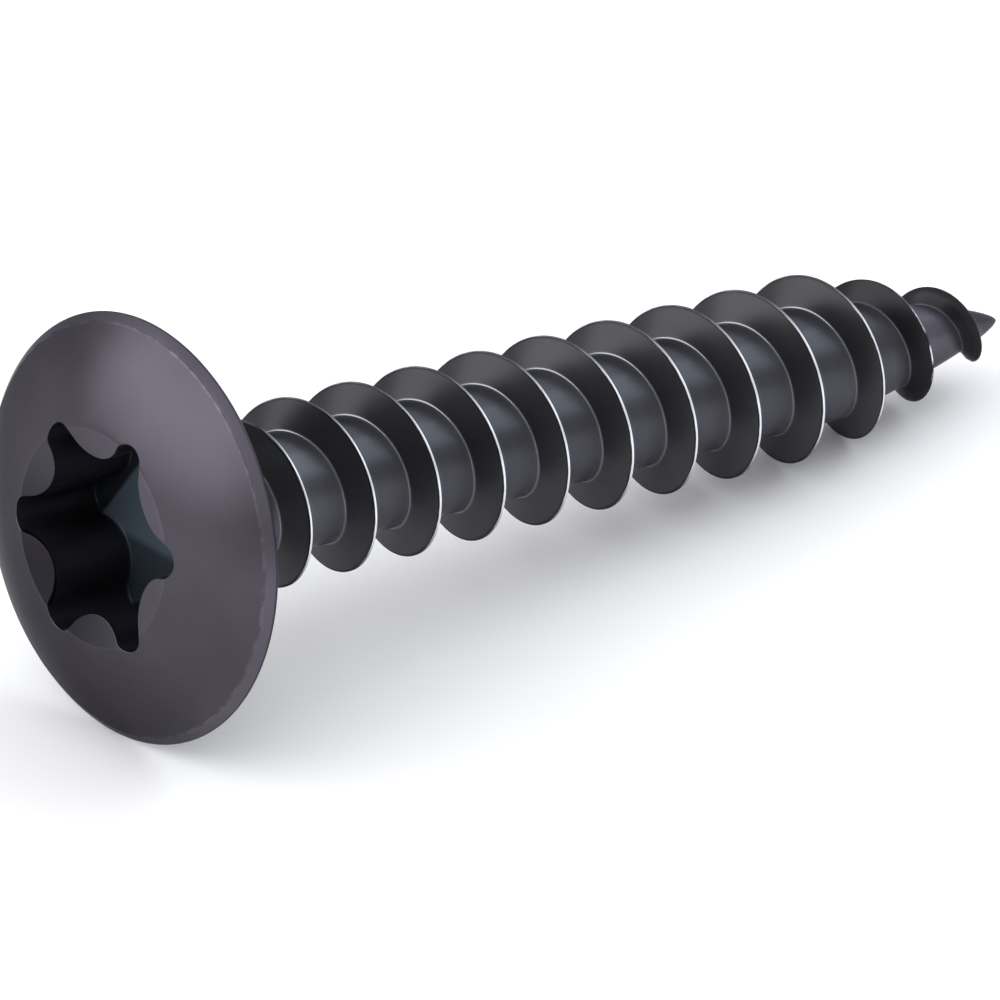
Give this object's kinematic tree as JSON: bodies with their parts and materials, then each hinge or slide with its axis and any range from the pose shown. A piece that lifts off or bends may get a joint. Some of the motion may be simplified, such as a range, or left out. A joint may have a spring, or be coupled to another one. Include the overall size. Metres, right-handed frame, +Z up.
{
  "type": "furniture screw",
  "caption": "Wide domed-head furniture screw with a lobed drive socket, a coarse right-hand thread up to its head and a gimlet point, in black steel.",
  "frame": {"origin": "bottom centre of the part's bounding box, on the table that the screw lies on", "axes": "+X along the screw's length towards its point, which dips towards the table, and +Z up"},
  "size_m": [0.026, 0.0094, 0.0094],
  "materials": {
    "black_finish": "satin black zinc passivation, slightly violet"
  },
  "bodies": {
    "root": {"furniture_screw": "black_finish"}
  },
  "joints": []
}
